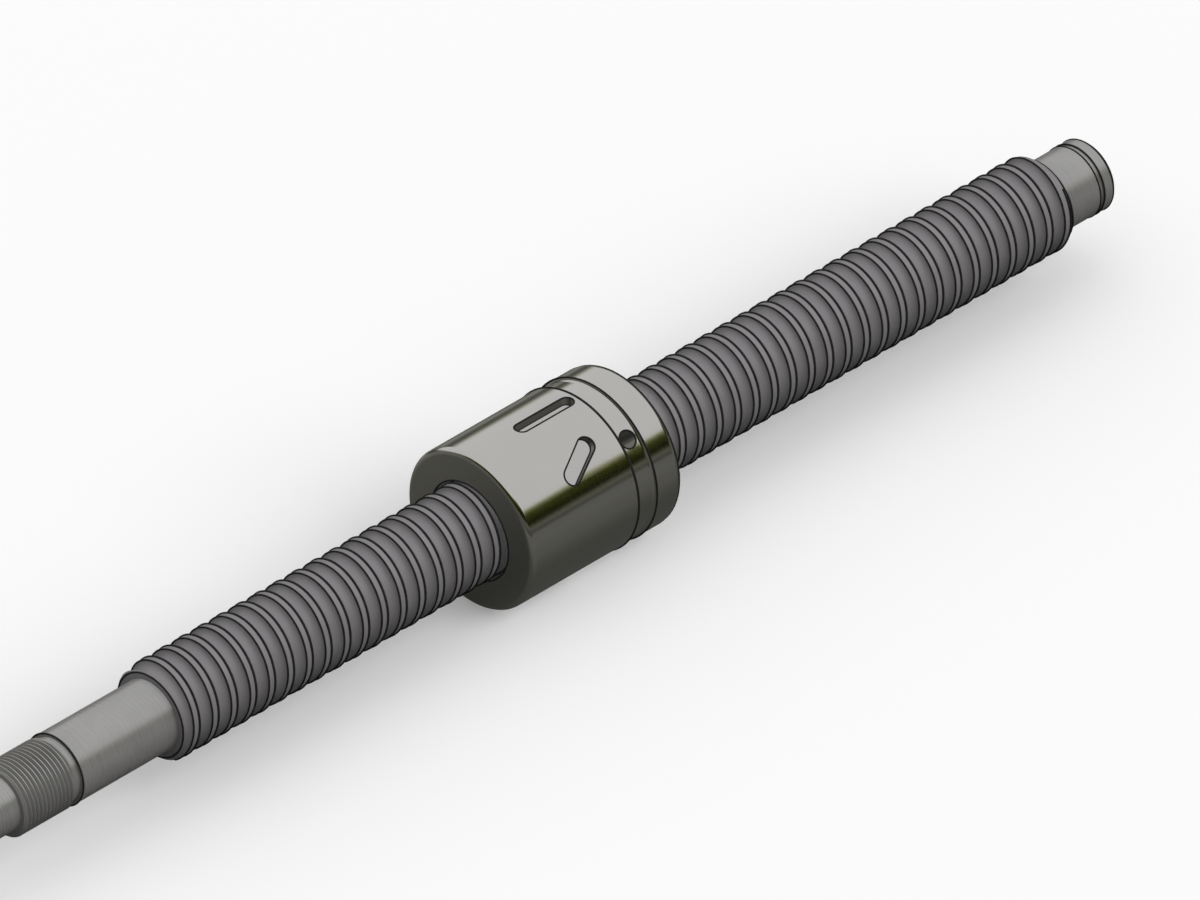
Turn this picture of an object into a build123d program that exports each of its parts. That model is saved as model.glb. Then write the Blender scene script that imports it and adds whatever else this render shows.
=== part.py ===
"""Ball screw with a cylindrical single nut: left-hand track, 20 mm nominal diameter, 5 mm lead.

Millimetres. The screw lies along +X and its driven end points along -X. X = 0 is the driven end's shoulder.
Each piece is drawn with the screw axis along Z, then laid along X. Angles about the screw run from +Y to +Z.
"""

from build123d import *
from build123d.topology import SkipClean
import math
import os

# Ball track, shared by the screw, the nut and the return inserts
lead = 5.0
ball_diameter = 3.175
pitch_diameter = 20.5  # circle that the ball centres run on
groove_radius = 1.70  # arc of the track in cross-section
track_phase = 2.625  # X of one groove centre at angle 0

# Screw
screw_diameter = 19.7  # over the lands
thread_length = 240.0
thread_chamfer = 1.0

# Driven end of the screw, from the shoulder outwards
fixed_journal_diameter = 15.0
fixed_journal_length = 25.0
lock_thread_diameter = 15.0
lock_thread_length = 15.0
lock_relief_diameter = 13.6
lock_relief_width = 1.5
drive_stub_diameter = 12.0
drive_stub_length = 22.0

# Floating end of the screw
floating_journal_diameter = 15.0
floating_journal_length = 13.0
circlip_seat = 9.0  # bearing width between the shoulder and the circlip groove
circlip_groove_width = 1.15
circlip_groove_diameter = 14.3

shaft_end_chamfer = 0.5
centre_hole_diameter = 5.0
centre_cone_angle = 60.0
centre_pilot_diameter = 2.0
centre_pilot_depth = 3.6

# Nut body
nut_start = 85.0  # X of the nut's near face
nut_length = 40.0
nut_diameter = 34.0
nut_edge_radius = 1.2
nut_bore_diameter = 21.0
bore_edge_chamfer = 0.1

# Oil groove round the nut, with its feed hole
oil_groove_start = 28.5  # from the near face
oil_groove_width = 5.0
oil_groove_depth = 0.75
oil_groove_corner_radius = 0.6
oil_hole_diameter = 3.7
oil_hole_angle = 135.0

# Key seat on top of the nut
key_seat_width = 3.0
key_seat_length = 15.0
key_seat_depth = 1.8
key_seat_centre = 20.0  # from the near face
key_seat_angle = 90.0

# Wipers, one in each mouth of the nut
lip_thickness = 1.0  # wall between the face and the wiper seat
wiper_seat_width = 3.6
wiper_seat_diameter = 24.4
wiper_clearance = 0.15  # on each side and round the outside
wiper_gap_to_screw = 0.15
wiper_lip_width = 0.7
wiper_relief = 0.6
wiper_split = 0.5
front_split_angle = 65.0
rear_split_angle = 245.0

# Ball circuits, each closed by one return insert
circuit_count = 3
middle_circuit_position = 18.3  # from the near face
middle_circuit_angle = 131.4
circuit_turns_apart = 4 / 3
balls_per_circuit = 20
return_angle = 60.0  # arc about the screw that a ball takes to cross one land
return_lift = 1.45  # how far a ball rises over the land
channel_reach = 42.0  # angle that an insert's channel runs to on each side of its middle
channel_points = 29
path_steps = 1440  # steps in which a circuit's closed path is measured

# Return insert: a head in the bore wall and a tongue that shows in the nut's slot
head_width = 11.0  # across the screw axis
head_length = 10.3  # along the screw axis
head_back_radius = 14.3
tongue_width = 3.6
tongue_length = 11.1
tongue_tilt = 30.0  # from the screw axis
tongue_sink = 1.7  # below the nut's outside
tongue_edge = 0.2
insert_clearance = 0.05

# Places that follow from the sizes above
screw_radius = screw_diameter / 2
pitch_radius = pitch_diameter / 2
nut_radius = nut_diameter / 2
nut_bore_radius = nut_bore_diameter / 2
wiper_seat_radius = wiper_seat_diameter / 2
nut_end = nut_start + nut_length
track_overrun = 1.2 * groove_radius
along_x = Plane(origin=(0, 0, 0), x_dir=(0, 1, 0), z_dir=(1, 0, 0))


def groove_centre(angle, near):
    """X of the groove centre at an angle about the screw, on the turn nearest to X = near."""
    first = track_phase - lead * angle / 360
    return first + lead * round((near - first) / lead)


def track_piece(start, end):
    """Round bar of the track's arc, swept along the left-hand helix from X = start to X = end."""
    helix = Helix(lead, end - start, pitch_radius, lefthand=True)
    path = Pos(0, 0, start) * Rot(0, 0, 360 * (track_phase - start) / lead) * helix
    section = Plane(origin=path @ 0, z_dir=path % 0) * Circle(groove_radius)
    return sweep(section, path=path, is_frenet=True, clean=False)


def turned(outline):
    """Solid of revolution about the screw axis, from (radius, X) points of its half section."""
    return revolve(Plane.XZ * make_face(Polyline(*outline, close=True)), Axis.Z)


def bar(radius, start, end):
    """Plain cylinder on the screw axis."""
    return Pos(0, 0, start) * Cylinder(radius, end - start, align=(Align.CENTER, Align.CENTER, Align.MIN))


def outward_plane(height):
    """Plane square to the radius at angle 0, at a height above the axis, with its x axis along the screw."""
    return Plane(origin=(height, 0, 0), x_dir=(0, 0, 1), z_dir=(1, 0, 0))


def place(angle, x):
    """Where a feature that is drawn at angle 0 and X = 0 goes."""
    return Pos(0, 0, x) * Rot(0, 0, angle)


def rounded_bar(height, top, length, width, tilt):
    """Round-ended bar from a height above the axis up to top, with its length tilted from the screw axis."""
    outline = outward_plane(height) * Rot(0, 0, tilt) * SlotOverall(length, width)
    return extrude(outline, top - height)


def thread_slice(length):
    """Stretch of grooved bar, at most one lead long, that starts at a whole number of leads."""
    return bar(screw_radius, 0, length) - track_piece(-track_overrun, length + track_overrun)


def grooved_bar(turn, count):
    """Bar of a whole number of turns, joined from halves that are made the same way."""
    if count == 1:
        return turn
    half = grooved_bar(turn, count // 2)
    whole = half.fuse(Pos(0, 0, lead * (count // 2)) * half)
    if count % 2:
        whole = whole.fuse(Pos(0, 0, lead * (count - 1)) * turn)
    return whole


def end_ring(x, inwards):
    """Ring that cuts the thread's 45 degree chamfer at X = x. Inwards is +1 or -1 along the screw."""
    outside = screw_radius + thread_chamfer
    inside = screw_radius - thread_chamfer
    return turned([(inside, x), (outside, x), (outside, x + 2 * inwards * thread_chamfer)])


def centre_hole(x, inwards):
    """Lathe centre in an end face at X = x: a cone with a short pilot."""
    mouth = centre_hole_diameter / 2
    pilot = centre_pilot_diameter / 2
    cone_end = x + inwards * (mouth - pilot) / math.tan(math.radians(centre_cone_angle / 2))
    bottom = cone_end + inwards * centre_pilot_depth
    return turned([(0, x), (mouth, x), (pilot, cone_end), (pilot, bottom), (0, bottom)])


def driven_end():
    """Journal for the fixed bearing, lock nut thread at its major diameter, and drive stub."""
    journal = fixed_journal_diameter / 2
    thread = lock_thread_diameter / 2
    relief = lock_relief_diameter / 2
    stub = drive_stub_diameter / 2
    thread_start = -fixed_journal_length
    thread_end = thread_start - lock_thread_length
    stub_end = thread_end - drive_stub_length
    edge = shaft_end_chamfer
    outline = [(0, 0), (journal, 0), (journal, thread_start), (relief, thread_start)]
    outline += [(relief, thread_start - lock_relief_width), (thread, thread_start - lock_relief_width)]
    outline += [(thread, thread_end + edge), (thread - edge, thread_end), (stub, thread_end)]
    outline += [(stub, stub_end + edge), (stub - edge, stub_end), (0, stub_end)]
    return turned(outline) - centre_hole(stub_end, 1)


def floating_end():
    """Journal for the floating bearing, with its circlip groove."""
    journal = floating_journal_diameter / 2
    groove = circlip_groove_diameter / 2
    groove_start = thread_length + circlip_seat
    groove_end = groove_start + circlip_groove_width
    end = thread_length + floating_journal_length
    edge = shaft_end_chamfer
    outline = [(0, thread_length), (journal, thread_length), (journal, groove_start)]
    outline += [(groove, groove_start), (groove, groove_end), (journal, groove_end)]
    outline += [(journal, end - edge), (journal - edge, end), (0, end)]
    return turned(outline) - centre_hole(end, -1)


def make_screw_shaft():
    """Screw in one piece: chamfered first and last turn, whole turns between, and both machined ends."""
    whole_turns = math.ceil(thread_length / lead) - 2
    last_start = lead * (whole_turns + 1)
    turn = thread_slice(lead)
    last = Pos(0, 0, last_start) * thread_slice(thread_length - last_start)
    shaft = (turn - end_ring(0, 1)).fuse(driven_end())
    shaft = shaft.fuse(Pos(0, 0, lead) * grooved_bar(turn, whole_turns))
    return shaft.fuse((last - end_ring(thread_length, -1)).fuse(floating_end()))


def nut_blank():
    """Turned nut body: rounded outer edges, round oil groove, and two wiper seats behind thin lips."""
    seat_near = nut_start + lip_thickness
    seat_far = nut_end - lip_thickness
    blank = bar(nut_radius, nut_start, nut_end)
    blank = fillet(blank.edges().filter_by(GeomType.CIRCLE), nut_edge_radius)
    blank -= bar(nut_bore_radius, nut_start, nut_end)
    blank -= bar(wiper_seat_radius, seat_near, seat_near + wiper_seat_width)
    blank -= bar(wiper_seat_radius, seat_far - wiper_seat_width, seat_far)
    mouth = nut_bore_radius + bore_edge_chamfer
    for face, inwards in ((nut_start, 1), (nut_end, -1)):
        inside = face + inwards * bore_edge_chamfer
        blank -= turned([(0, face), (mouth, face), (nut_bore_radius, inside), (0, inside)])
    middle = nut_start + oil_groove_start + oil_groove_width / 2
    section = RectangleRounded(2 * oil_groove_depth, oil_groove_width, oil_groove_corner_radius)
    return blank - revolve(Plane.XZ * Pos(nut_radius, middle) * section, Axis.Z)


def circuits():
    """Angle and X of the land that each circuit's balls cross, from the near circuit to the far one."""
    places = []
    for step in range(circuit_count):
        turns = (step - (circuit_count - 1) / 2) * circuit_turns_apart
        angle = (middle_circuit_angle - 360 * turns) % 360
        near = nut_start + middle_circuit_position + lead * turns
        places.append((angle, groove_centre(angle, near - lead / 2) + lead / 2))
    return places


def head_block(clearance):
    """Block of an insert's head: straight sides, and a back that is round about the screw."""
    sides = Rectangle(head_length + 2 * clearance, head_width + 2 * clearance)
    block = extrude(outward_plane(0) * sides, nut_radius)
    return block & bar(head_back_radius + clearance, -head_length, head_length)


def tongue_bar(clearance, top):
    """Tilted bar of an insert's tongue, from inside the head up to top."""
    foot = math.sqrt(head_back_radius**2 - (tongue_length / 2) ** 2)
    return rounded_bar(foot, top, tongue_length + 2 * clearance, tongue_width + 2 * clearance, tongue_tilt)


def make_nut_body():
    """Nut body: blank, ball track, pockets for the inserts, key seat and oil hole."""
    body = nut_blank()
    start = nut_start + lip_thickness + wiper_seat_width / 2
    end = nut_end - lip_thickness - wiper_seat_width / 2
    while start < end:
        stop = min(start + lead, end)
        body -= track_piece(start, stop)
        start = stop
    above = 2 * nut_radius
    pocket = head_block(insert_clearance) + tongue_bar(insert_clearance, above)
    for angle, x in circuits():
        body -= place(angle, x) * pocket
    key_seat = rounded_bar(nut_radius - key_seat_depth, above, key_seat_length, key_seat_width, 0)
    body -= place(key_seat_angle, nut_start + key_seat_centre) * key_seat
    oil_hole = extrude(outward_plane(0) * Circle(oil_hole_diameter / 2), above)
    return body - place(oil_hole_angle, nut_start + oil_groove_start + oil_groove_width / 2) * oil_hole


def ball_at(angle):
    """Centre of a ball by its angle past the insert, where it rises and crosses one land."""
    around = (angle + 180) % 360 - 180
    share = around / (return_angle / 2)
    if abs(share) < 1:
        radius = pitch_radius + return_lift * (1 + math.cos(math.pi * share)) / 2
        x = lead / 2 * math.sin(math.pi / 2 * math.sin(math.pi / 2 * share)) - lead * around / 360
    else:
        radius = pitch_radius
        x = lead / 2 - lead * (around % 360) / 360
    return Vector(radius * math.cos(math.radians(around)), radius * math.sin(math.radians(around)), x)


def return_channel():
    """Bar of the track's arc along the balls' way over one land."""
    last = channel_points - 1
    path = Spline(*[ball_at(channel_reach * (2 * i / last - 1)) for i in range(channel_points)])
    section = Plane(origin=path @ 0, z_dir=path % 0) * Circle(groove_radius)
    return sweep(section, path=path, is_frenet=False, clean=False)


def make_return_insert():
    """Return insert: head flush with the bore, tongue for the nut's slot, and channel on the inner side."""
    tongue = tongue_bar(0, nut_radius - tongue_sink)
    rim = tongue.faces().sort_by(Axis.X)[-1].edges()
    insert = head_block(0) + chamfer(rim, tongue_edge)
    insert -= bar(nut_bore_radius, -head_length, head_length)
    return insert - return_channel()


def ball_angles():
    """Angles past the insert at which a circuit's balls sit, evenly spaced along their closed path."""
    points = [ball_at(360 * i / path_steps) for i in range(path_steps)]
    lengths = [(points[i] - points[i - 1]).length for i in range(path_steps)]
    spacing = sum(lengths) / balls_per_circuit
    angles = []
    travelled = 0.0
    for i, length in enumerate(lengths):
        if travelled >= spacing * (len(angles) + 0.5):
            angles.append(360 * i / path_steps)
        travelled += length
    return angles


def make_balls(angles):
    """Balls of one circuit that sit at some angles past its insert, as separate solids."""
    return [Pos(ball_at(angle)) * Sphere(ball_diameter / 2) for angle in angles]


def in_insert(angle):
    """Whether a ball at this angle past the insert is on its way over the land."""
    return min(angle, 360 - angle) < return_angle / 2


def make_wiper(face, inwards, split_angle):
    """Split wiper ring with two lips, behind the nut face at X = face."""
    near = face + inwards * (lip_thickness + wiper_clearance)
    far = face + inwards * (lip_thickness + wiper_seat_width - wiper_clearance)
    inner = screw_radius + wiper_gap_to_screw
    relieved = inner + wiper_relief
    outer = wiper_seat_radius - wiper_clearance
    lip = inwards * wiper_lip_width
    slope = inwards * wiper_relief
    outline = [(inner, near), (inner, near + lip), (relieved, near + lip + slope)]
    outline += [(relieved, far - lip - slope), (inner, far - lip), (inner, far)]
    outline += [(outer, far), (outer, near)]
    split = extrude(outward_plane(0) * Rectangle(nut_length, wiper_split), nut_radius)
    return turned(outline) - place(split_angle, face) * split


def save(name, solids):
    """Lay a piece along X and write it. A node of several solids keeps them apart."""
    laid = [along_x * solid for solid in solids]
    export_step(laid[0] if len(laid) == 1 else Compound(laid), f"parts/{name}.step")


def main():
    os.makedirs("parts", exist_ok=True)
    with SkipClean():
        save("screw_shaft", [make_screw_shaft()])
        save("nut_body", [make_nut_body()])
    save("front_wiper", [make_wiper(nut_start, 1, front_split_angle)])
    save("rear_wiper", [make_wiper(nut_end, -1, rear_split_angle)])
    insert = make_return_insert()
    loaded = make_balls([angle for angle in ball_angles() if not in_insert(angle)])
    returning = make_balls([angle for angle in ball_angles() if in_insert(angle)])
    for number, circuit in enumerate(circuits(), start=1):
        seat = place(*circuit)
        save(f"return_insert_{number}", [seat * insert])
        save(f"circuit_{number}_loaded_balls", [seat * ball for ball in loaded])
        for place_in_row, ball in enumerate(returning, start=1):
            save(f"circuit_{number}_return_ball_{place_in_row}", [seat * ball])


main()
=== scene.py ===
"""Looks of the ball screw: fine thread and ends, dark edge lines, steel finishes, and the studio round it.

Metres. The screw lies along +X and angles about it run from +Y to +Z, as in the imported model.
"""

import math
import random

import bmesh
import bpy
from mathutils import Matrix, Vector


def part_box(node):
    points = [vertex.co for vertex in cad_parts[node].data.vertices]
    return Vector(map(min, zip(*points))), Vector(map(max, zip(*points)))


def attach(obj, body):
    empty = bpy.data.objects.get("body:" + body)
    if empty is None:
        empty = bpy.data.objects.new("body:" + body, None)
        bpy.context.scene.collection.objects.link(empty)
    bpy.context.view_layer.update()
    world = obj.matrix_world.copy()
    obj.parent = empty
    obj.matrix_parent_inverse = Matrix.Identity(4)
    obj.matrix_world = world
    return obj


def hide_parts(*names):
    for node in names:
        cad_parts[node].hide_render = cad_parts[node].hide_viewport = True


MM = 0.001

# Ball track of the screw
lead = 5.0 * MM
groove_radius = 1.70 * MM
pitch_radius = 10.25 * MM
track_phase = 2.625 * MM  # X of one groove centre at angle 0
thread_length = 240.0 * MM
thread_chamfer = 1.0 * MM
screw_radius = 9.85 * MM
profile_reach = 0.45 * lead  # how far a drawn turn of the track runs to each side of its groove

# Machined ends of the screw
journal_radius = 7.5 * MM
fixed_journal_length = 25.0 * MM
lock_thread_length = 15.0 * MM
lock_relief_radius = 6.8 * MM
lock_relief_width = 1.5 * MM
lock_thread_pitch = 1.0 * MM
lock_thread_depth = 0.6134 * MM
drive_stub_radius = 6.0 * MM
drive_stub_length = 22.0 * MM
floating_journal_length = 13.0 * MM
circlip_seat = 9.0 * MM
circlip_groove_width = 1.15 * MM
circlip_groove_radius = 7.15 * MM
end_chamfer = 0.5 * MM
centre_mouth_radius = 2.5 * MM
centre_pilot_radius = 1.0 * MM
centre_pilot_depth = 3.6 * MM
centre_cone_angle = 60.0

# Nut, with the openings in its outside placed from its near face
nut_edge_radius = 1.2 * MM
oil_groove_start = 28.5 * MM
oil_groove_width = 5.0 * MM
oil_groove_depth = 0.75 * MM
oil_hole_radius = 1.85 * MM
oil_hole_angle = 135.0
key_seat_width = 3.0 * MM
key_seat_length = 15.0 * MM
key_seat_depth = 1.8 * MM
key_seat_centre = 20.0 * MM
key_seat_angle = 90.0
slot_width = 3.7 * MM
slot_length = 11.2 * MM
slot_tilt = -30.0  # its far end lies at the smaller angle
slot_angle = 131.4
slot_centre = 18.3 * MM
slot_floor_height = 15.3 * MM
bore_radius = 10.5 * MM

# Places along the screw that follow from the sizes above
groove_half_width = math.sqrt(groove_radius**2 - (pitch_radius - screw_radius) ** 2)
lock_thread_start = -fixed_journal_length - lock_relief_width
lock_thread_end = -fixed_journal_length - lock_thread_length
driven_end = lock_thread_end - drive_stub_length
circlip_groove_start = thread_length + circlip_seat
circlip_groove_end = circlip_groove_start + circlip_groove_width
floating_end = thread_length + floating_journal_length
centre_cone_slope = math.tan(math.radians(centre_cone_angle / 2))
centre_cone_depth = (centre_mouth_radius - centre_pilot_radius) / centre_cone_slope

# Finish of the nut where it isn't ground: on its end faces and on the key seat's floor
dull_beyond_share = 0.495  # share of the nut's length from its middle to where an end face begins
dull_below_radius = 15.6 * MM
dull_above_slope = 0.97  # Z of a surface direction that still counts as the key seat's floor
dull_extra_roughness = 0.22

# Noise of the materials, in waves to a metre
mark_scale = 9000.0
mark_scale_round_axis = 120.0
steel_cloud_scale = 140.0
edge_cloud_scale = 900.0
ball_cloud_scale = 700.0
wiper_grain_scale = 5000.0

# How the noise is used
noise_detail = 3.0
noise_low = 0.3  # most values of a noise lie between these two
noise_high = 0.7
mark_share = 0.5  # of the steel's tone that follows its marks, while the rest follows its clouds
steel_mark_strength = 0.5
wiper_grain_strength = 0.4
wiper_grain_height = 0.02 * MM

# Fineness of the meshes
steps_per_turn = 80
groove_steps = 12
slot_end_steps = 12
hole_steps = 32
stage_circle_steps = 64
smooth_below = 35.0  # degrees between two faces that still look like one surface
line_smooth_below = 80.0

# Dark lines on the sharp edges
line_radius = 0.19 * MM
near_line_radius = 0.28 * MM  # at edges whose face falls away from the photograph's camera; thicker, so that the line also paints the dark shade strip beside such an edge
line_sides = 6
line_spacing = 1.0 * MM  # between the points of a line round an opening, at most
land_line_shift = 0.15 * MM  # how far the line at a land's +X edge lies on the land
far_line_tilt = 50.0  # how far round the far rounded edge its line lies, from the outside

# Camera: the photograph looks along an isometric diagonal
camera_azimuth = math.radians(-45.0)
camera_elevation = math.radians(35.264)
lens = 1100.0
sensor = 36.0
photo_width = 1200  # pixels
photo_scale = 5.242  # pixels to a millimetre
frame_width = photo_width / photo_scale * MM
frame_centre_x = 120.06 * MM  # point of the screw axis under the picture's centre
frame_centre_rise = 1.015 * MM  # how far the picture's centre lies above the axis
camera_reach = 40.0

# Light that the surroundings and the lamp give
world_strength = 0.75
key_energy = 1.15
key_direction = (0.22, -0.725, 0.652)
key_softness = math.radians(40.0)
floor_grey = 0.985
floor_radius = 20.0

# Dark surroundings that only the steel mirrors: a card over the floor and a wall round the object
nut_reflectance = 0.587  # share of the light that the nut's steel gives back
flag_distance = 0.9  # radius of the card and of the wall
flag_centre = 0.12  # X of the middle of both
flag_lift = 0.1 * MM  # of the card over the floor
horizon_columns = 720
horizon_unevenness = 0.04
horizon_seed = 4
ground_tint = (1.0, 1.0, 0.945)

# Brightness that the nut shows where it mirrors the card: Y in metres and an 8-bit tone
ground_tones = (
    (-0.10, 84),
    (-0.045, 77),
    (-0.025, 61),
    (-0.013, 59),
    (0.0, 39),
    (0.014, 45),
    (0.03, 67),
    (0.042, 67),
    (0.11, 110),
    (0.22, 66),
)

# Colours that the nut shows where it mirrors the olive wall, from the wall's foot at 0 to its top at 1
olive_tones = (
    (0.0, (90, 90, 86)),
    (0.09, (50, 50, 45)),
    (0.23, (84, 84, 74)),
    (0.36, (28, 29, 12)),
    (0.45, (17, 18, 4)),
    (0.78, (46, 50, 9)),
    (0.9, (104, 106, 64)),
    (0.955, (163, 163, 147)),
    (1.0, (173, 173, 165)),
)

# The same where the wall is grey
grey_tones = (
    (0.0, (62, 62, 55)),
    (0.25, (72, 73, 64)),
    (0.5, (114, 115, 105)),
    (0.75, (158, 158, 151)),
    (1.0, (177, 177, 173)),
)

# Top of the wall: azimuth and elevation in degrees, and how grey the wall is there instead of olive
horizon_shape = (
    (-180, 48, 0.0),
    (-165, 50, 0.0),
    (-97, 50, 0.0),
    (-75, 40, 0.0),
    (-62, 27.6, 0.0),
    (-40, 27.6, 0.0),
    (0, 18, 0.3),
    (40, 11, 1.0),
    (100, 10, 1.0),
    (122, 12, 0.8),
    (140, 38, 0.0),
    (158, 46, 0.0),
    (180, 48, 0.0),
)


# Node helpers

def new_material(name):
    """Plain material, its node tree and its Principled shader."""
    material = bpy.data.materials.new(name)
    material.use_nodes = True
    tree = material.node_tree
    shader = tree.nodes["Principled BSDF"]
    return material, tree, shader


def maths(tree, operation, first, second=None):
    """Math node over one or two sockets or numbers."""
    node = tree.nodes.new("ShaderNodeMath")
    node.operation = operation
    for socket, value in zip(node.inputs, (first, second)):
        if isinstance(value, bpy.types.NodeSocket):
            tree.links.new(value, socket)
        elif value is not None:
            socket.default_value = value
    return node.outputs[0]


def object_place(tree):
    """Place on the object, in metres."""
    return tree.nodes.new("ShaderNodeTexCoord").outputs["Object"]


def split_vector(tree, vector):
    """The three numbers of a vector."""
    node = tree.nodes.new("ShaderNodeSeparateXYZ")
    tree.links.new(vector, node.inputs[0])
    return node.outputs


def distance_from_axis(tree, y, z):
    """Distance of a place from the screw axis."""
    squares = maths(tree, "ADD", maths(tree, "MULTIPLY", y, y), maths(tree, "MULTIPLY", z, z))
    return maths(tree, "SQRT", squares)


def turning_coordinates(tree):
    """Coordinates that change fast along the axis and the radius and slowly round it, as lathe marks do."""
    x, y, z = split_vector(tree, object_place(tree))
    radius = distance_from_axis(tree, y, z)
    along = maths(tree, "MULTIPLY", x, mark_scale)
    outwards = maths(tree, "MULTIPLY", radius, mark_scale)
    join = tree.nodes.new("ShaderNodeCombineXYZ")
    tree.links.new(maths(tree, "ADD", along, outwards), join.inputs[0])
    tree.links.new(maths(tree, "MULTIPLY", y, mark_scale_round_axis), join.inputs[1])
    tree.links.new(maths(tree, "MULTIPLY", z, mark_scale_round_axis), join.inputs[2])
    return join.outputs[0]


def noise(tree, vector, scale):
    """Noise texture's value at a coordinate."""
    node = tree.nodes.new("ShaderNodeTexNoise")
    node.inputs["Scale"].default_value = scale
    node.inputs["Detail"].default_value = noise_detail
    tree.links.new(vector, node.inputs["Vector"])
    return node.outputs["Fac"]


def spread(tree, value, low, high):
    """A noise's value spread over low to high."""
    node = tree.nodes.new("ShaderNodeMapRange")
    tree.links.new(value, node.inputs["Value"])
    node.inputs["From Min"].default_value = noise_low
    node.inputs["From Max"].default_value = noise_high
    node.inputs["To Min"].default_value = low
    node.inputs["To Max"].default_value = high
    return node.outputs[0]


def tint(tree, shader, value, dark, light):
    """Gives a surface a colour that runs with a noise's value from dark to light."""
    node = tree.nodes.new("ShaderNodeMix")
    node.data_type = "RGBA"
    tree.links.new(spread(tree, value, 0.0, 1.0), node.inputs["Factor"])
    node.inputs["A"].default_value = (*dark, 1)
    node.inputs["B"].default_value = (*light, 1)
    tree.links.new(node.outputs["Result"], shader.inputs["Base Color"])


def bump(tree, shader, height, distance, strength):
    """Bump from a height texture, in metres."""
    node = tree.nodes.new("ShaderNodeBump")
    node.inputs["Distance"].default_value = distance
    node.inputs["Strength"].default_value = strength
    tree.links.new(height, node.inputs["Height"])
    tree.links.new(node.outputs[0], shader.inputs["Normal"])


def dull_places(tree):
    """1 on the end faces and the key seat's floor, which are duller than the ground outside, or else 0."""
    coordinates = tree.nodes.new("ShaderNodeTexCoord")
    normal = split_vector(tree, coordinates.outputs["Normal"])
    place = split_vector(tree, coordinates.outputs["Object"])
    share = split_vector(tree, coordinates.outputs["Generated"])
    from_middle = maths(tree, "ABSOLUTE", maths(tree, "SUBTRACT", share[0], 0.5))
    end_face = maths(tree, "GREATER_THAN", from_middle, dull_beyond_share)
    radius = distance_from_axis(tree, place[1], place[2])
    sunk = maths(tree, "LESS_THAN", radius, dull_below_radius)
    upwards = maths(tree, "GREATER_THAN", normal[2], dull_above_slope)
    return maths(tree, "MAXIMUM", end_face, maths(tree, "MULTIPLY", sunk, upwards))


# Materials

def turned_steel(name, dark, light, metallic, roughness, mark_height, extra_roughness=0.0):
    """Steel with fine marks round its axis, faint clouds and slightly uneven gloss."""
    material, tree, shader = new_material(name)
    marks = noise(tree, turning_coordinates(tree), 1.0)
    cloud = noise(tree, object_place(tree), steel_cloud_scale)
    mark_part = maths(tree, "MULTIPLY", marks, mark_share)
    cloud_part = maths(tree, "MULTIPLY", cloud, 1 - mark_share)
    tint(tree, shader, maths(tree, "ADD", mark_part, cloud_part), dark, light)
    gloss = spread(tree, marks, roughness[0], roughness[1])
    if extra_roughness:
        dull = maths(tree, "MULTIPLY", dull_places(tree), extra_roughness)
        gloss = maths(tree, "ADD", gloss, dull)
    tree.links.new(gloss, shader.inputs["Roughness"])
    shader.inputs["Metallic"].default_value = metallic
    bump(tree, shader, marks, mark_height, steel_mark_strength)
    return material


def thread_steel():
    """Hardened and ground steel of the screw's thread, matte grey."""
    return turned_steel(
        "screw_steel",
        dark=(0.225, 0.215, 0.225),
        light=(0.265, 0.255, 0.265),
        metallic=0.25,
        roughness=(0.42, 0.55),
        mark_height=0.01 * MM,
    )


def journal_steel():
    """Turned and ground steel of the screw's ends, brighter than the thread."""
    return turned_steel(
        "journal_steel",
        dark=(0.34, 0.335, 0.335),
        light=(0.42, 0.415, 0.41),
        metallic=0.6,
        roughness=(0.25, 0.36),
        mark_height=0.008 * MM,
    )


def nut_steel():
    """Ground steel of the nut, bright outside and duller on its end faces and the key seat's floor."""
    return turned_steel(
        "nut_steel",
        dark=(0.575, 0.57, 0.555),
        light=(0.60, 0.59, 0.57),
        metallic=1.0,
        roughness=(0.10, 0.16),
        mark_height=0.002 * MM,
        extra_roughness=dull_extra_roughness,
    )


def insert_steel():
    """Sintered and ground steel of the return inserts."""
    return turned_steel(
        "insert_steel",
        dark=(0.56, 0.555, 0.54),
        light=(0.60, 0.59, 0.58),
        metallic=1.0,
        roughness=(0.16, 0.24),
        mark_height=0.003 * MM,
    )


def edge_line_material():
    """Near-black colour of the lines drawn along the sharp edges, a little uneven; where the lines are
    thicker they also paint the dark shade that lies beside an edge.
    """
    material, tree, shader = new_material("dark_edge_line_colour")
    cloud = noise(tree, object_place(tree), edge_cloud_scale)
    tint(tree, shader, cloud, dark=(0.010, 0.010, 0.010), light=(0.022, 0.021, 0.021))
    shader.inputs["Roughness"].default_value = 0.7
    shader.inputs["Specular IOR Level"].default_value = 0.2
    return material


def ball_material():
    """Polished bearing steel with very faint clouds."""
    material, tree, shader = new_material("polished_ball_steel")
    cloud = noise(tree, object_place(tree), ball_cloud_scale)
    tint(tree, shader, cloud, dark=(0.72, 0.72, 0.72), light=(0.80, 0.80, 0.81))
    tree.links.new(spread(tree, cloud, low=0.04, high=0.09), shader.inputs["Roughness"])
    shader.inputs["Metallic"].default_value = 1.0
    return material


def wiper_material():
    """Moulded polymer, dull, with a fine grain."""
    material, tree, shader = new_material("moulded_wiper")
    grain = noise(tree, object_place(tree), wiper_grain_scale)
    tint(tree, shader, grain, dark=(0.16, 0.155, 0.16), light=(0.21, 0.20, 0.205))
    tree.links.new(spread(tree, grain, low=0.45, high=0.6), shader.inputs["Roughness"])
    bump(tree, shader, grain, wiper_grain_height, wiper_grain_strength)
    return material


# Mesh helpers

def at(x, radius, angle):
    """Point at X = x, at a radius and an angle about the screw."""
    return Vector((x, radius * math.cos(angle), radius * math.sin(angle)))


def beside(x, height, across, angle):
    """Point at X = x, at a height along the radius at an angle, and moved across from that radius."""
    return at(x, height, angle) + at(0, across, angle + math.pi / 2)


def height_on(radius, across):
    """Height of a cylinder's surface over its axis, beside the middle."""
    return math.sqrt(radius**2 - across**2)


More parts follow.
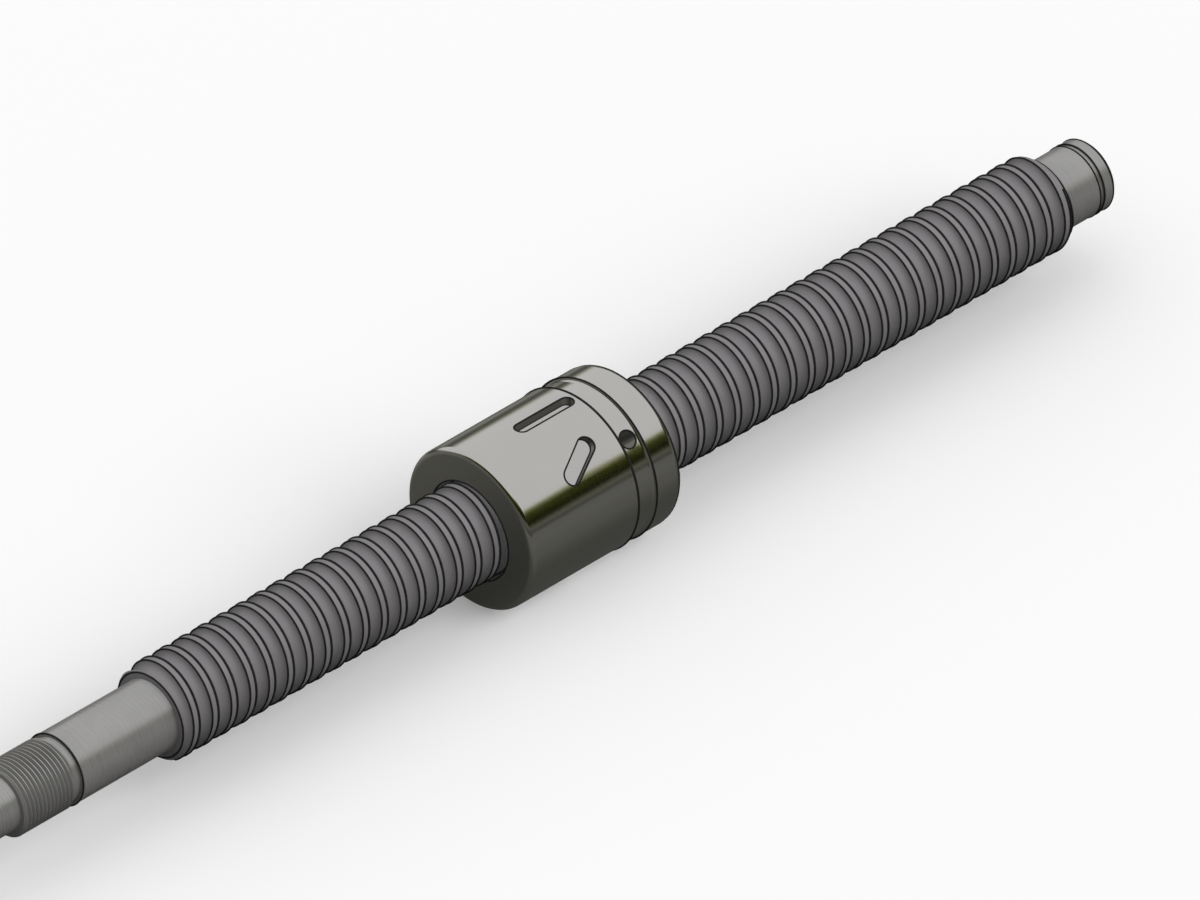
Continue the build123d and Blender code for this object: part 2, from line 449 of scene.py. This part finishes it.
def object_from(name, mesh, materials, smooth_angle=smooth_below):
    """Object from a bmesh, smooth but for its sharp edges."""
    bmesh.ops.recalc_face_normals(mesh, faces=mesh.faces)
    limit = math.radians(smooth_angle)
    for edge in mesh.edges:
        edge.smooth = not edge.is_manifold or edge.calc_face_angle(0.0) < limit
    for face in mesh.faces:
        face.smooth = True
    data = bpy.data.meshes.new(name)
    mesh.to_mesh(data)
    mesh.free()
    for material in materials:
        data.materials.append(material)
    piece = bpy.data.objects.new(name, data)
    bpy.context.scene.collection.objects.link(piece)
    return piece


def circle_points(x, radius):
    """Points of a circle round the screw axis."""
    return [at(x, radius, 2 * math.pi * i / steps_per_turn) for i in range(steps_per_turn)]


def lathe(mesh, outline, slot):
    """Closed turned solid from (x, radius) points that start and end on the axis."""
    rings = []
    for x, radius in outline:
        if radius == 0:
            rings.append([mesh.verts.new(at(x, 0, 0))])
        else:
            rings.append([mesh.verts.new(point) for point in circle_points(x, radius)])
    for near, far in zip(rings, rings[1:]):
        for i in range(steps_per_turn):
            j = (i + 1) % steps_per_turn
            corners = [near[i % len(near)], near[j % len(near)], far[j % len(far)], far[i % len(far)]]
            face = mesh.faces.new(list(dict.fromkeys(corners)))
            face.material_index = slot


def thread_skin(profile, pitch, hand, phase, start, end):
    """Open skin of a thread, from about a turn before X = start to a turn past X = end."""
    mesh = bmesh.new()
    first = math.floor((start - phase) / pitch) - 1
    last = math.ceil((end - phase) / pitch) + 1
    count = (last - first) * steps_per_turn
    grid = []
    for i in range(count + 1):
        turns = i / steps_per_turn + first
        angle = hand * 2 * math.pi * turns
        grid.append([mesh.verts.new(at(phase + pitch * turns + x, radius, angle)) for x, radius in profile])
    for i in range(count):
        row = grid[i]
        following = grid[i + 1]
        for j in range(len(profile) - 1):
            mesh.faces.new((row[j], row[j + 1], following[j + 1], following[j]))
        if i + steps_per_turn < count:
            above = grid[i + steps_per_turn]
            beyond = grid[i + steps_per_turn + 1]
            mesh.faces.new((row[-1], above[0], beyond[0], following[-1]))
    return mesh


def cut_thread(mesh, crest, start, end, chamfer):
    """Cuts a thread square at X = start and X = end, chamfers its turns there and closes it."""
    along = Vector((1, 0, 0))
    for cut in (start + chamfer, end - chamfer):
        everything = mesh.verts[:] + mesh.edges[:] + mesh.faces[:]
        bmesh.ops.bisect_plane(mesh, geom=everything, plane_co=along * cut, plane_no=along)
    for cut, outwards in ((start, -1), (end, 1)):
        everything = mesh.verts[:] + mesh.edges[:] + mesh.faces[:]
        bmesh.ops.bisect_plane(
            mesh, geom=everything, plane_co=along * cut, plane_no=along * outwards, clear_outer=True
        )
    for vert in mesh.verts:
        inside = min(vert.co.x - start, end - vert.co.x)
        radius = math.hypot(vert.co.y, vert.co.z)
        limit = crest - chamfer + max(inside, 0)
        if inside < chamfer and radius > limit:
            vert.co.y *= limit / radius
            vert.co.z *= limit / radius
    bmesh.ops.holes_fill(mesh, edges=[edge for edge in mesh.edges if edge.is_boundary])


def threaded_bar(profile, pitch, hand, phase, start, end, chamfer, slot):
    """Closed threaded bar as its own bmesh. Profile is (x, radius) over one pitch, and hand is 1 or -1."""
    mesh = thread_skin(profile, pitch, hand, phase, start, end)
    cut_thread(mesh, max(radius for x, radius in profile), start, end, chamfer)
    for face in mesh.faces:
        face.material_index = slot
    return mesh


def join_into(mesh, other):
    """Adds a bmesh to another one."""
    data = bpy.data.meshes.new("joined")
    other.to_mesh(data)
    other.free()
    mesh.from_mesh(data)
    bpy.data.meshes.remove(data)


def line_ring(point, along, thickness):
    """Points round a line's cross-section."""
    outwards = Vector((0, point.y, point.z)).normalized()
    outwards = (outwards - along * outwards.dot(along)).normalized()
    sideways = along.cross(outwards)
    ring = []
    for k in range(line_sides):
        turn = 2 * math.pi * k / line_sides
        rim = math.cos(turn) * outwards + math.sin(turn) * sideways
        ring.append(point + thickness * rim)
    return ring


def wire(mesh, points, closed, thickness=line_radius):
    """Thin round wire along points, laid on an edge. Thickness is its radius."""
    count = len(points)
    rings = []
    for i, point in enumerate(points):
        before = points[i - 1] if closed or i > 0 else point
        after = points[(i + 1) % count] if closed or i + 1 < count else point
        along = (after - before).normalized()
        rings.append([mesh.verts.new(corner) for corner in line_ring(point, along, thickness)])
    for i in range(count if closed else count - 1):
        ring = rings[i]
        following = rings[(i + 1) % count]
        for k in range(line_sides):
            m = (k + 1) % line_sides
            mesh.faces.new((ring[k], ring[m], following[m], following[k]))
    if not closed:
        mesh.faces.new(rings[0])
        mesh.faces.new(rings[-1][::-1])


def subdivided(points):
    """Closed outline with points no further apart than the spacing of a line's points."""
    fine = []
    for i, point in enumerate(points):
        following = points[(i + 1) % len(points)]
        count = max(1, math.ceil((following - point).length / line_spacing))
        fine += [point.lerp(following, k / count) for k in range(count)]
    return fine


# The screw

def track_profile():
    """One lead of the screw's surface: half a land, the round groove, half a land."""
    reach = math.asin(groove_half_width / groove_radius)
    points = [(-profile_reach, screw_radius)]
    for i in range(groove_steps + 1):
        angle = reach * (2 * i / groove_steps - 1)
        points.append((groove_radius * math.sin(angle), pitch_radius - groove_radius * math.cos(angle)))
    points.append((profile_reach, screw_radius))
    return points


def lock_thread_profile():
    """One pitch of the 60 degree lock nut thread, whose crest is flat over an eighth of the pitch."""
    crest = journal_radius
    root = journal_radius - lock_thread_depth
    flat = lock_thread_pitch / 8
    return [(-3.5 * flat, root), (-0.5 * flat, crest), (0.5 * flat, crest), (3.5 * flat, root)]


def centre_hole_points(end, inwards):
    """Half section of the lathe centre in an end face at X = end. Inwards is 1 or -1."""
    cone_end = end + inwards * centre_cone_depth
    bottom = cone_end + inwards * centre_pilot_depth
    return [
        (end, centre_mouth_radius),
        (cone_end, centre_pilot_radius),
        (bottom, centre_pilot_radius),
        (bottom, 0),
    ]


def fixed_journal_outline():
    """Half section from the thread's end to the lock thread's relief."""
    return [
        (0, 0),
        (0, journal_radius),
        (-fixed_journal_length, journal_radius),
        (-fixed_journal_length, lock_relief_radius),
        (lock_thread_start, lock_relief_radius),
        (lock_thread_start, 0),
    ]


def drive_stub_outline():
    """Half section of the drive stub, which starts where the lock thread ends."""
    outline = [
        (lock_thread_end, 0),
        (lock_thread_end, drive_stub_radius),
        (driven_end + end_chamfer, drive_stub_radius),
        (driven_end, drive_stub_radius - end_chamfer),
    ]
    return outline + centre_hole_points(driven_end, 1)


def floating_end_outline():
    """Half section of the floating end with its circlip groove."""
    outline = [
        (thread_length, 0),
        (thread_length, journal_radius),
        (circlip_groove_start, journal_radius),
        (circlip_groove_start, circlip_groove_radius),
        (circlip_groove_end, circlip_groove_radius),
        (circlip_groove_end, journal_radius),
        (floating_end - end_chamfer, journal_radius),
        (floating_end, journal_radius - end_chamfer),
    ]
    return outline + centre_hole_points(floating_end, -1)


def make_screw():
    """Screw with its fine track and machined ends, in place of the CAD node."""
    mesh = threaded_bar(track_profile(), lead, -1, track_phase, 0.0, thread_length, thread_chamfer, 0)
    for outline in (fixed_journal_outline(), drive_stub_outline(), floating_end_outline()):
        lathe(mesh, outline, 1)
    lock = threaded_bar(
        lock_thread_profile(), lock_thread_pitch, 1, 0.0, lock_thread_end, lock_thread_start, end_chamfer, 1
    )
    join_into(mesh, lock)
    piece = object_from("screw", mesh, [thread_steel(), journal_steel()])
    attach(piece, "screw")
    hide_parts("screw_shaft")
    return piece


def track_edge_points(edge):
    """Points of the left-hand helix that runs beside the groove's middle, between the chamfered ends."""
    first = (thread_chamfer - track_phase - edge) / lead
    last = (thread_length - thread_chamfer - track_phase - edge) / lead
    points = []
    for i in range(math.floor((last - first) * steps_per_turn) + 1):
        turns = first + i / steps_per_turn
        points.append(at(track_phase + edge + lead * turns, screw_radius, -2 * math.pi * turns))
    return points


def make_screw_lines(material):
    """Dark lines on both edges of the track and on the sharp edges of the machined ends."""
    mesh = bmesh.new()
    wire(mesh, track_edge_points(-groove_half_width - land_line_shift), False, near_line_radius)
    wire(mesh, track_edge_points(groove_half_width), False)
    circles = [
        (-fixed_journal_length, journal_radius),
        (driven_end + end_chamfer, drive_stub_radius),
        (driven_end, drive_stub_radius - end_chamfer),
        (driven_end, centre_mouth_radius),
        (circlip_groove_start, journal_radius),
        (circlip_groove_end, journal_radius),
        (floating_end - end_chamfer, journal_radius),
        (floating_end, journal_radius - end_chamfer),
        (floating_end, centre_mouth_radius),
        (0, screw_radius - thread_chamfer),
        (thread_length, screw_radius - thread_chamfer),
    ]
    for x, radius in circles:
        wire(mesh, circle_points(x, radius), True)
    piece = object_from("screw_edge_lines", mesh, [material], line_smooth_below)
    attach(piece, "screw")
    return piece


# The nut

def rounded_slot_points(length, width, tilt):
    """Flat outline of a round-ended slot as (x, across) points round its middle."""
    half = (length - width) / 2
    radius = width / 2
    tilt = math.radians(tilt)
    points = []
    for side in (1, -1):
        for i in range(slot_end_steps + 1):
            turn = math.pi * (i / slot_end_steps - side / 2)
            along = side * half + radius * math.cos(turn)
            across = radius * math.sin(turn)
            x = along * math.cos(tilt) - across * math.sin(tilt)
            points.append((x, along * math.sin(tilt) + across * math.cos(tilt)))
    return points


def line_opening(mesh, outline, x, angle, nut_radius, floor_height):
    """Lines round an opening's mouth in the nut's outside and round its flat floor."""
    turn = math.radians(angle)
    mouth = [beside(x + along, height_on(nut_radius, across), across, turn) for along, across in outline]
    floor = [beside(x + along, floor_height, across, turn) for along, across in outline]
    for points in (mouth, floor):
        wire(mesh, subdivided(points), True)


def line_oil_groove(mesh, start, nut_radius):
    """Lines on both edges of the oil groove and round the hole in its floor."""
    wire(mesh, circle_points(start, nut_radius), True, near_line_radius)
    wire(mesh, circle_points(start + oil_groove_width, nut_radius), True)
    hole = []
    for i in range(hole_steps):
        turn = 2 * math.pi * i / hole_steps
        x = start + oil_groove_width / 2 + oil_hole_radius * math.cos(turn)
        across = oil_hole_radius * math.sin(turn)
        height = height_on(nut_radius - oil_groove_depth, across)
        hole.append(beside(x, height, across, math.radians(oil_hole_angle)))
    wire(mesh, hole, True)


def line_ends(mesh, near_face, far_face, nut_radius):
    """Lines round both mouths of the bore and on the far rounded edge."""
    for x in (near_face, far_face):
        wire(mesh, circle_points(x, bore_radius), True)
    tilt = math.radians(far_line_tilt)
    x = far_face - nut_edge_radius * (1 - math.sin(tilt))
    radius = nut_radius - nut_edge_radius * (1 - math.cos(tilt))
    wire(mesh, circle_points(x, radius), True, near_line_radius)


def make_nut_lines(material, near_face, far_face, nut_radius):
    """Dark lines on the edges of the nut and of its oil groove, oil hole, key seat and slot."""
    mesh = bmesh.new()
    line_oil_groove(mesh, near_face + oil_groove_start, nut_radius)
    line_ends(mesh, near_face, far_face, nut_radius)
    key_seat = rounded_slot_points(key_seat_length, key_seat_width, 0)
    key_seat_floor = nut_radius - key_seat_depth
    line_opening(mesh, key_seat, near_face + key_seat_centre, key_seat_angle, nut_radius, key_seat_floor)
    slot = rounded_slot_points(slot_length, slot_width, slot_tilt)
    line_opening(mesh, slot, near_face + slot_centre, slot_angle, nut_radius, slot_floor_height)
    piece = object_from("nut_edge_lines", mesh, [material], line_smooth_below)
    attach(piece, "nut")
    return piece


# Studio

def linear(byte):
    """Linear light of an 8-bit colour value."""
    share = byte / 255
    return share / 12.92 if share <= 0.04045 else ((share + 0.055) / 1.055) ** 2.4


def as_seen(colour):
    """Light that looks like an 8-bit colour when it is mirrored in the nut's steel."""
    return tuple(linear(value) / nut_reflectance for value in colour)


def ramp(tree, value, tones):
    """Light that runs with a value through (value, colour) tones, each as the nut's steel shows it."""
    low = tones[0][0]
    high = tones[-1][0]
    reach = tree.nodes.new("ShaderNodeMapRange")
    tree.links.new(value, reach.inputs["Value"])
    reach.inputs["From Min"].default_value = low
    reach.inputs["From Max"].default_value = high
    node = tree.nodes.new("ShaderNodeValToRGB")
    while len(node.color_ramp.elements) < len(tones):
        node.color_ramp.elements.new(0.5)
    for element, (place, colour) in zip(node.color_ramp.elements, tones):
        element.position = (place - low) / (high - low)
        element.color = (*as_seen(colour), 1)
    tree.links.new(reach.outputs[0], node.inputs[0])
    return node.outputs[0]


def glow_material(name):
    """Material with a plain emission, and its tree, emission and output."""
    material = bpy.data.materials.new(name)
    material.use_nodes = True
    tree = material.node_tree
    tree.nodes.clear()
    glow = tree.nodes.new("ShaderNodeEmission")
    output = tree.nodes.new("ShaderNodeOutputMaterial")
    tree.links.new(glow.outputs[0], output.inputs[0])
    return material, tree, glow, output


def make_stage_circle(mesh, radius, x, height):
    """Filled circle that lies flat."""
    bmesh.ops.create_circle(mesh, cap_ends=True, segments=stage_circle_steps, radius=radius)
    bmesh.ops.translate(mesh, verts=mesh.verts, vec=(x, 0, height))


def make_floor(height):
    """Plain pale floor, wide enough for every view."""
    material, tree, shader = new_material("pale_floor")
    shader.inputs["Base Color"].default_value = (floor_grey, floor_grey, floor_grey, 1)
    shader.inputs["Roughness"].default_value = 1.0
    shader.inputs["Specular IOR Level"].default_value = 0.0
    mesh = bmesh.new()
    make_stage_circle(mesh, floor_radius, 0, height)
    object_from("floor", mesh, [material])


def ground_flag_material():
    """Greys of the ground that the steel mirrors, which change with Y. Its underside is clear."""
    tones = [(place, [tone * part for part in ground_tint]) for place, tone in ground_tones]
    material, tree, glow, output = glow_material("ground_flag")
    y = split_vector(tree, object_place(tree))[1]
    tree.links.new(ramp(tree, y, tones), glow.inputs["Color"])
    clear = tree.nodes.new("ShaderNodeBsdfTransparent")
    sides = tree.nodes.new("ShaderNodeMixShader")
    tree.links.new(tree.nodes.new("ShaderNodeNewGeometry").outputs["Backfacing"], sides.inputs[0])
    tree.links.new(glow.outputs[0], sides.inputs[1])
    tree.links.new(clear.outputs[0], sides.inputs[2])
    tree.links.new(sides.outputs[0], output.inputs[0])
    return material


def make_ground_flag(height):
    """Dark card just over the floor that only the object sees, for the dark underside of the steel."""
    mesh = bmesh.new()
    make_stage_circle(mesh, flag_distance, flag_centre, height + flag_lift)
    flag = object_from("ground_flag", mesh, [ground_flag_material()])
    flag.visible_camera = False
    flag.visible_shadow = False


def horizon_flag_material():
    """Olive or grey light that changes from the wall's foot, at share 0, to its top, at share 1."""
    material, tree, glow, output = glow_material("horizon_flag")
    share = tree.nodes.new("ShaderNodeAttribute")
    share.attribute_name = "share"
    greyness = tree.nodes.new("ShaderNodeAttribute")
    greyness.attribute_name = "greyness"
    mix = tree.nodes.new("ShaderNodeMix")
    mix.data_type = "RGBA"
    tree.links.new(greyness.outputs["Fac"], mix.inputs["Factor"])
    tree.links.new(ramp(tree, share.outputs["Fac"], olive_tones), mix.inputs["A"])
    tree.links.new(ramp(tree, share.outputs["Fac"], grey_tones), mix.inputs["B"])
    tree.links.new(mix.outputs["Result"], glow.inputs["Color"])
    return material


def horizon_at(azimuth):
    """Elevation in degrees of the wall's top at an azimuth in degrees, and the wall's greyness there."""
    for low, high in zip(horizon_shape, horizon_shape[1:]):
        if azimuth <= high[0]:
            part = (azimuth - low[0]) / (high[0] - low[0])
            part = part * part * (3 - 2 * part)
            return [a + (b - a) * part for a, b in zip(low[1:], high[1:])]


def make_horizon_flag(height):
    """Wall with an uneven top that only the steel mirrors, for its dark band and the dark side it shows."""
    chance = random.Random(horizon_seed)
    mesh = bmesh.new()
    share = mesh.verts.layers.float.new("share")
    greyness = mesh.verts.layers.float.new("greyness")
    columns = []
    for i in range(horizon_columns):
        azimuth = 360 * i / horizon_columns - 180
        elevation, grey = horizon_at(azimuth)
        uneven = 1 + horizon_unevenness * chance.uniform(-1, 1)
        top = flag_distance * math.tan(math.radians(elevation)) * uneven
        x = flag_centre + flag_distance * math.cos(math.radians(azimuth))
        y = flag_distance * math.sin(math.radians(azimuth))
        column = [mesh.verts.new((x, y, height)), mesh.verts.new((x, y, top))]
        for vert, part in zip(column, (0.0, 1.0)):
            vert[share] = part
            vert[greyness] = grey
        columns.append(column)
    for i in range(horizon_columns):
        foot, top = columns[i]
        next_foot, next_top = columns[(i + 1) % horizon_columns]
        mesh.faces.new((foot, next_foot, next_top, top))
    flag = object_from("horizon_flag", mesh, [horizon_flag_material()])
    flag.visible_camera = False
    flag.visible_shadow = False
    flag.visible_diffuse = False


def make_lights():
    """Even pale surroundings and one soft lamp from above, to the visible side."""
    world = bpy.data.worlds.new("studio")
    world.use_nodes = True
    background = world.node_tree.nodes["Background"]
    background.inputs["Color"].default_value = (1, 1, 1, 1)
    background.inputs["Strength"].default_value = world_strength
    bpy.context.scene.world = world
    lamp = bpy.data.lights.new("soft_key", "SUN")
    lamp.energy = key_energy
    lamp.angle = key_softness
    key = bpy.data.objects.new("soft_key", lamp)
    bpy.context.scene.collection.objects.link(key)
    key.rotation_mode = "QUATERNION"
    key.rotation_quaternion = Vector(key_direction).to_track_quat("Z", "Y")
    key.visible_glossy = False


def make_camera():
    """Camera on the photograph's isometric diagonal, so far away that it shows almost no perspective."""
    data = bpy.data.cameras.new("camera")
    data.lens = lens
    data.sensor_width = sensor
    data.clip_end = camera_reach
    camera = bpy.data.objects.new("camera", data)
    bpy.context.scene.collection.objects.link(camera)
    flat = math.cos(camera_elevation)
    rise = math.sin(camera_elevation)
    backwards = Vector((math.sin(camera_azimuth) * flat, -math.cos(camera_azimuth) * flat, rise))
    camera.rotation_mode = "QUATERNION"
    camera.rotation_quaternion = backwards.to_track_quat("Z", "Y")
    upwards = camera.rotation_quaternion @ Vector((0, 1, 0))
    target = Vector((frame_centre_x, 0, 0)) + upwards * frame_centre_rise
    camera.location = target + backwards * (frame_width * lens / sensor)
    bpy.context.scene.camera = camera


def give(node, material):
    """Puts a material on a CAD node."""
    node.data.materials.clear()
    node.data.materials.append(material)


def dress_nodes(nodes):
    """Materials of the CAD nodes that show as they are: nut body, wipers, balls and return inserts."""
    give(nodes["nut_body"], nut_steel())
    inserts = insert_steel()
    balls = ball_material()
    wipers = wiper_material()
    for name, node in nodes.items():
        if name.endswith("wiper"):
            give(node, wipers)
        elif "ball" in name:
            give(node, balls)
        elif "insert" in name:
            give(node, inserts)


def main(nodes):
    """Dresses the object and builds the studio. The object's pieces aren't mirrored in each other."""
    bpy.context.scene.view_settings.view_transform = "Standard"
    make_camera()
    nut_low, nut_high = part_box("nut_body")
    nut_radius = (nut_high.z - nut_low.z) / 2
    dress_nodes(nodes)
    lines = edge_line_material()
    pieces = [make_screw(), make_screw_lines(lines)]
    pieces.append(make_nut_lines(lines, nut_low.x, nut_high.x, nut_radius))
    for piece in pieces + list(nodes.values()):
        piece.visible_glossy = False
    nodes["nut_body"].visible_diffuse = False
    make_floor(nut_low.z)
    make_ground_flag(nut_low.z)
    make_horizon_flag(nut_low.z)
    make_lights()


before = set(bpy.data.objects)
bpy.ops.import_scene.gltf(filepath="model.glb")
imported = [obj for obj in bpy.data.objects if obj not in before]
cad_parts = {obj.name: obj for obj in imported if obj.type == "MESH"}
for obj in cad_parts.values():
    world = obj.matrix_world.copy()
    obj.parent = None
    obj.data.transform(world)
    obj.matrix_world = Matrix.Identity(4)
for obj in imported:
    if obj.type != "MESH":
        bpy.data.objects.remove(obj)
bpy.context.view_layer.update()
main(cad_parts)
